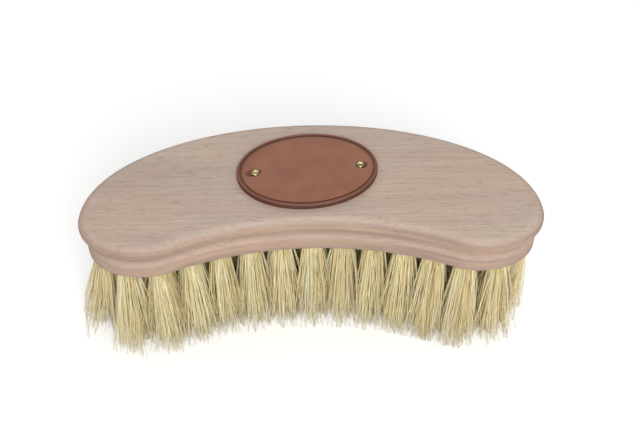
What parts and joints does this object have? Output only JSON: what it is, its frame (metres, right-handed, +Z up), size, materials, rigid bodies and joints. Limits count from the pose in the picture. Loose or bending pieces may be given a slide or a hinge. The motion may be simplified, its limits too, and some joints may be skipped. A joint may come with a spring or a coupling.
{
  "type": "scrubbing brush",
  "caption": "Kidney-shaped hand brush: a moulded beech block with a finger groove, set with fanned tufts of stiff plant fibre, and a plain oval leather badge nailed on top.",
  "frame": {"origin": "on the surface that the bristle tips stand on, under the middle of the block", "axes": "+X along the brush, +Y towards its bulging back, away from the waist, +Z up through the block"},
  "size_m": [0.205, 0.075, 0.0757],
  "materials": {
    "beech": "bare sanded beech",
    "plant_fibre": "dry cream plant fibre",
    "badge_leather": "smooth waxed red-brown leather",
    "nail_brass": "polished brass",
    "anchor_steel": "drawn flat wire"
  },
  "bodies": {
    "root": {"badge": "badge_leather", "badge_nails": "nail_brass", "block": "beech", "inner_tuft_01": "plant_fibre", "inner_tuft_02": "plant_fibre", "inner_tuft_03": "plant_fibre", "inner_tuft_04": "plant_fibre", "inner_tuft_05": "plant_fibre", "inner_tuft_06": "plant_fibre", "inner_tuft_07": "plant_fibre", "inner_tuft_08": "plant_fibre", "inner_tuft_09": "plant_fibre", "inner_tuft_10": "plant_fibre", "inner_tuft_11": "plant_fibre", "inner_tuft_12": "plant_fibre", "inner_tuft_13": "plant_fibre", "inner_tuft_14": "plant_fibre", "inner_tuft_15": "plant_fibre", "inner_tuft_16": "plant_fibre", "inner_tuft_17": "plant_fibre", "inner_tuft_18": "plant_fibre", "inner_tuft_19": "plant_fibre", "inner_tuft_20": "plant_fibre", "inner_tuft_21": "plant_fibre", "inner_tuft_22": "plant_fibre", "inner_tuft_23": "plant_fibre", "rim_tuft_01": "plant_fibre", "rim_tuft_02": "plant_fibre", "rim_tuft_03": "plant_fibre", "rim_tuft_04": "plant_fibre", "rim_tuft_05": "plant_fibre", "rim_tuft_06": "plant_fibre", "rim_tuft_07": "plant_fibre", "rim_tuft_08": "plant_fibre", "rim_tuft_09": "plant_fibre", "rim_tuft_10": "plant_fibre", "rim_tuft_11": "plant_fibre", "rim_tuft_12": "plant_fibre", "rim_tuft_13": "plant_fibre", "rim_tuft_14": "plant_fibre", "rim_tuft_15": "plant_fibre", "rim_tuft_16": "plant_fibre", "rim_tuft_17": "plant_fibre", "rim_tuft_18": "plant_fibre", "rim_tuft_19": "plant_fibre", "rim_tuft_20": "plant_fibre", "rim_tuft_21": "plant_fibre", "rim_tuft_22": "plant_fibre", "rim_tuft_23": "plant_fibre", "rim_tuft_24": "plant_fibre", "rim_tuft_25": "plant_fibre", "rim_tuft_26": "plant_fibre", "rim_tuft_27": "plant_fibre", "rim_tuft_28": "plant_fibre", "rim_tuft_29": "plant_fibre", "rim_tuft_30": "plant_fibre", "tuft_anchors": "anchor_steel"}
  },
  "joints": []
}
